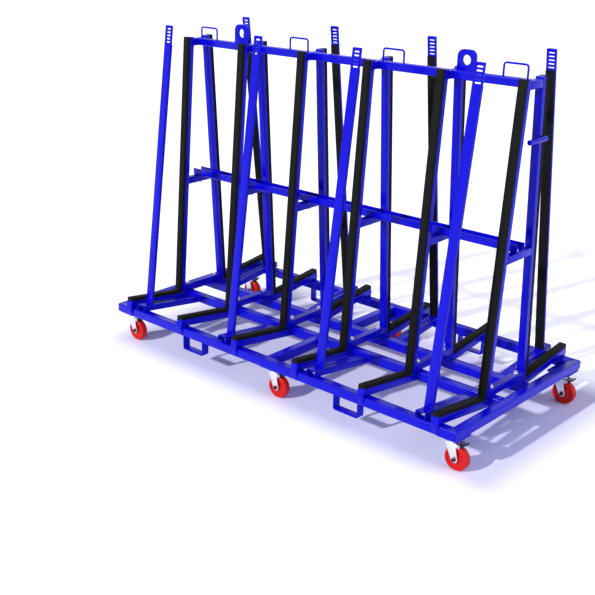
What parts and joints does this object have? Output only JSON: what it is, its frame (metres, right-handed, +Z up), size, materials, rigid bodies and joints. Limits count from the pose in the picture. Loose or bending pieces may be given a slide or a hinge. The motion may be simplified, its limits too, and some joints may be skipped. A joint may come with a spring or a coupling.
{
  "type": "glazing trolley",
  "caption": "Wheeled A-frame rack that carries sheets of glass on edge on both sides, with rubber ledges, slotted racks with lift-out poles, and braked swivel castors.",
  "frame": {"origin": "on the floor, under the middle of the whole outline", "axes": "+X along the trolley, towards the side that the castors trail to at rest; +Y from front to rear; +Z up"},
  "size_m": [2.4284, 1.184, 1.8452],
  "materials": {
    "blue_powder_coat": "semi-gloss",
    "black_rubber": "matt",
    "zinc_plated_steel": "satin",
    "red_polyurethane": "semi-gloss"
  },
  "bodies": {
    "base": {"front_rail": "blue_powder_coat", "rear_rail": "blue_powder_coat", "end_rails": "blue_powder_coat", "inner_rails": "blue_powder_coat", "cross_tubes": "blue_powder_coat", "castor_mount_plates": "blue_powder_coat", "ledge_tubes": "blue_powder_coat", "pole_racks": "blue_powder_coat", "fork_pocket_straps": "blue_powder_coat", "a_frame_1": "blue_powder_coat", "a_frame_2": "blue_powder_coat", "a_frame_3": "blue_powder_coat", "a_frame_4": "blue_powder_coat", "a_frame_5": "blue_powder_coat", "a_frame_6": "blue_powder_coat", "top_rail": "blue_powder_coat", "mid_rail": "blue_powder_coat", "lifting_eyes": "blue_powder_coat", "rail_handles": "blue_powder_coat", "strap_peg": "blue_powder_coat", "ledge_rubbers": "black_rubber", "upright_rubbers": "black_rubber", "frame_bolts": "zinc_plated_steel", "mid_rail_bolts": "zinc_plated_steel", "castor_plates": "zinc_plated_steel", "castor_bolts": "zinc_plated_steel"},
    "castor_front_left": {"castor_fork_front_left": "zinc_plated_steel"},
    "wheel_front_left": {"castor_wheel_front_left": "red_polyurethane"},
    "brake_front_left": {"castor_brake_front_left": "zinc_plated_steel"},
    "castor_front_middle": {"castor_fork_front_middle": "zinc_plated_steel"},
    "wheel_front_middle": {"castor_wheel_front_middle": "red_polyurethane"},
    "brake_front_middle": {"castor_brake_front_middle": "zinc_plated_steel"},
    "castor_front_right": {"castor_fork_front_right": "zinc_plated_steel"},
    "wheel_front_right": {"castor_wheel_front_right": "red_polyurethane"},
    "brake_front_right": {"castor_brake_front_right": "zinc_plated_steel"},
    "castor_rear_left": {"castor_fork_rear_left": "zinc_plated_steel"},
    "wheel_rear_left": {"castor_wheel_rear_left": "red_polyurethane"},
    "brake_rear_left": {"castor_brake_rear_left": "zinc_plated_steel"},
    "castor_rear_middle": {"castor_fork_rear_middle": "zinc_plated_steel"},
    "wheel_rear_middle": {"castor_wheel_rear_middle": "red_polyurethane"},
    "brake_rear_middle": {"castor_brake_rear_middle": "zinc_plated_steel"},
    "castor_rear_right": {"castor_fork_rear_right": "zinc_plated_steel"},
    "wheel_rear_right": {"castor_wheel_rear_right": "red_polyurethane"},
    "brake_rear_right": {"castor_brake_rear_right": "zinc_plated_steel"},
    "pole_front_1": {"pole_front_1": "blue_powder_coat", "pole_rubber_front_1": "black_rubber"},
    "pole_front_2": {"pole_front_2": "blue_powder_coat", "pole_rubber_front_2": "black_rubber"},
    "pole_front_3": {"pole_front_3": "blue_powder_coat", "pole_rubber_front_3": "black_rubber"},
    "pole_front_4": {"pole_front_4": "blue_powder_coat", "pole_rubber_front_4": "black_rubber"},
    "pole_rear_1": {"pole_rear_1": "blue_powder_coat", "pole_rubber_rear_1": "black_rubber"},
    "pole_rear_2": {"pole_rear_2": "blue_powder_coat", "pole_rubber_rear_2": "black_rubber"},
    "pole_rear_3": {"pole_rear_3": "blue_powder_coat", "pole_rubber_rear_3": "black_rubber"},
    "pole_rear_4": {"pole_rear_4": "blue_powder_coat", "pole_rubber_rear_4": "black_rubber"}
  },
  "joints": [
    {"name": "castor_swivel_front_left", "type": "hinge", "parent": "base", "child": "castor_front_left", "pos_m": [-1.15425, -0.501, 0.139], "axis": [0, 0, 1], "continuous": true},
    {"name": "wheel_spin_front_left", "type": "hinge", "parent": "castor_front_left", "child": "wheel_front_left", "pos_m": [-1.12825, -0.501, 0.0625], "axis": [0, 1, 0], "continuous": true},
    {"name": "brake_press_front_left", "type": "hinge", "parent": "castor_front_left", "child": "brake_front_left", "pos_m": [-1.11225, -0.501, 0.134], "axis": [0, 1, 0], "range_deg": [0, 25]},
    {"name": "castor_swivel_front_middle", "type": "hinge", "parent": "base", "child": "castor_front_middle", "pos_m": [-0.00025, -0.501, 0.139], "axis": [0, 0, 1], "continuous": true},
    {"name": "wheel_spin_front_middle", "type": "hinge", "parent": "castor_front_middle", "child": "wheel_front_middle", "pos_m": [0.02575, -0.501, 0.0625], "axis": [0, 1, 0], "continuous": true},
    {"name": "brake_press_front_middle", "type": "hinge", "parent": "castor_front_middle", "child": "brake_front_middle", "pos_m": [0.04175, -0.501, 0.134], "axis": [0, 1, 0], "range_deg": [0, 25]},
    {"name": "castor_swivel_front_right", "type": "hinge", "parent": "base", "child": "castor_front_right", "pos_m": [1.12575, -0.501, 0.139], "axis": [0, 0, 1], "continuous": true},
    {"name": "wheel_spin_front_right", "type": "hinge", "parent": "castor_front_right", "child": "wheel_front_right", "pos_m": [1.15175, -0.501, 0.0625], "axis": [0, 1, 0], "continuous": true},
    {"name": "brake_press_front_right", "type": "hinge", "parent": "castor_front_right", "child": "brake_front_right", "pos_m": [1.16775, -0.501, 0.134], "axis": [0, 1, 0], "range_deg": [0, 25]},
    {"name": "castor_swivel_rear_left", "type": "hinge", "parent": "base", "child": "castor_rear_left", "pos_m": [-1.15425, 0.501, 0.139], "axis": [0, 0, 1], "continuous": true},
    {"name": "wheel_spin_rear_left", "type": "hinge", "parent": "castor_rear_left", "child": "wheel_rear_left", "pos_m": [-1.12825, 0.501, 0.0625], "axis": [0, 1, 0], "continuous": true},
    {"name": "brake_press_rear_left", "type": "hinge", "parent": "castor_rear_left", "child": "brake_rear_left", "pos_m": [-1.11225, 0.501, 0.134], "axis": [0, 1, 0], "range_deg": [0, 25]},
    {"name": "castor_swivel_rear_middle", "type": "hinge", "parent": "base", "child": "castor_rear_middle", "pos_m": [-0.00025, 0.501, 0.139], "axis": [0, 0, 1], "continuous": true},
    {"name": "wheel_spin_rear_middle", "type": "hinge", "parent": "castor_rear_middle", "child": "wheel_rear_middle", "pos_m": [0.02575, 0.501, 0.0625], "axis": [0, 1, 0], "continuous": true},
    {"name": "brake_press_rear_middle", "type": "hinge", "parent": "castor_rear_middle", "child": "brake_rear_middle", "pos_m": [0.04175, 0.501, 0.134], "axis": [0, 1, 0], "range_deg": [0, 25]},
    {"name": "castor_swivel_rear_right", "type": "hinge", "parent": "base", "child": "castor_rear_right", "pos_m": [1.12575, 0.501, 0.139], "axis": [0, 0, 1], "continuous": true},
    {"name": "wheel_spin_rear_right", "type": "hinge", "parent": "castor_rear_right", "child": "wheel_rear_right", "pos_m": [1.15175, 0.501, 0.0625], "axis": [0, 1, 0], "continuous": true},
    {"name": "brake_press_rear_right", "type": "hinge", "parent": "castor_rear_right", "child": "brake_rear_right", "pos_m": [1.16775, 0.501, 0.134], "axis": [0, 1, 0], "range_deg": [0, 25]},
    {"name": "pole_lift_front_1", "type": "slide", "parent": "base", "child": "pole_front_1", "axis": [0, 0.1288, 0.9917], "range_m": [0, 0.06]},
    {"name": "pole_lift_front_2", "type": "slide", "parent": "base", "child": "pole_front_2", "axis": [0, 0.1288, 0.9917], "range_m": [0, 0.06]},
    {"name": "pole_lift_front_3", "type": "slide", "parent": "base", "child": "pole_front_3", "axis": [0, 0.1288, 0.9917], "range_m": [0, 0.06]},
    {"name": "pole_lift_front_4", "type": "slide", "parent": "base", "child": "pole_front_4", "axis": [0, 0.1288, 0.9917], "range_m": [0, 0.06]},
    {"name": "pole_lift_rear_1", "type": "slide", "parent": "base", "child": "pole_rear_1", "axis": [0, -0.1288, 0.9917], "range_m": [0, 0.06]},
    {"name": "pole_lift_rear_2", "type": "slide", "parent": "base", "child": "pole_rear_2", "axis": [0, -0.1288, 0.9917], "range_m": [0, 0.06]},
    {"name": "pole_lift_rear_3", "type": "slide", "parent": "base", "child": "pole_rear_3", "axis": [0, -0.1288, 0.9917], "range_m": [0, 0.06]},
    {"name": "pole_lift_rear_4", "type": "slide", "parent": "base", "child": "pole_rear_4", "axis": [0, -0.1288, 0.9917], "range_m": [0, 0.06]}
  ]
}
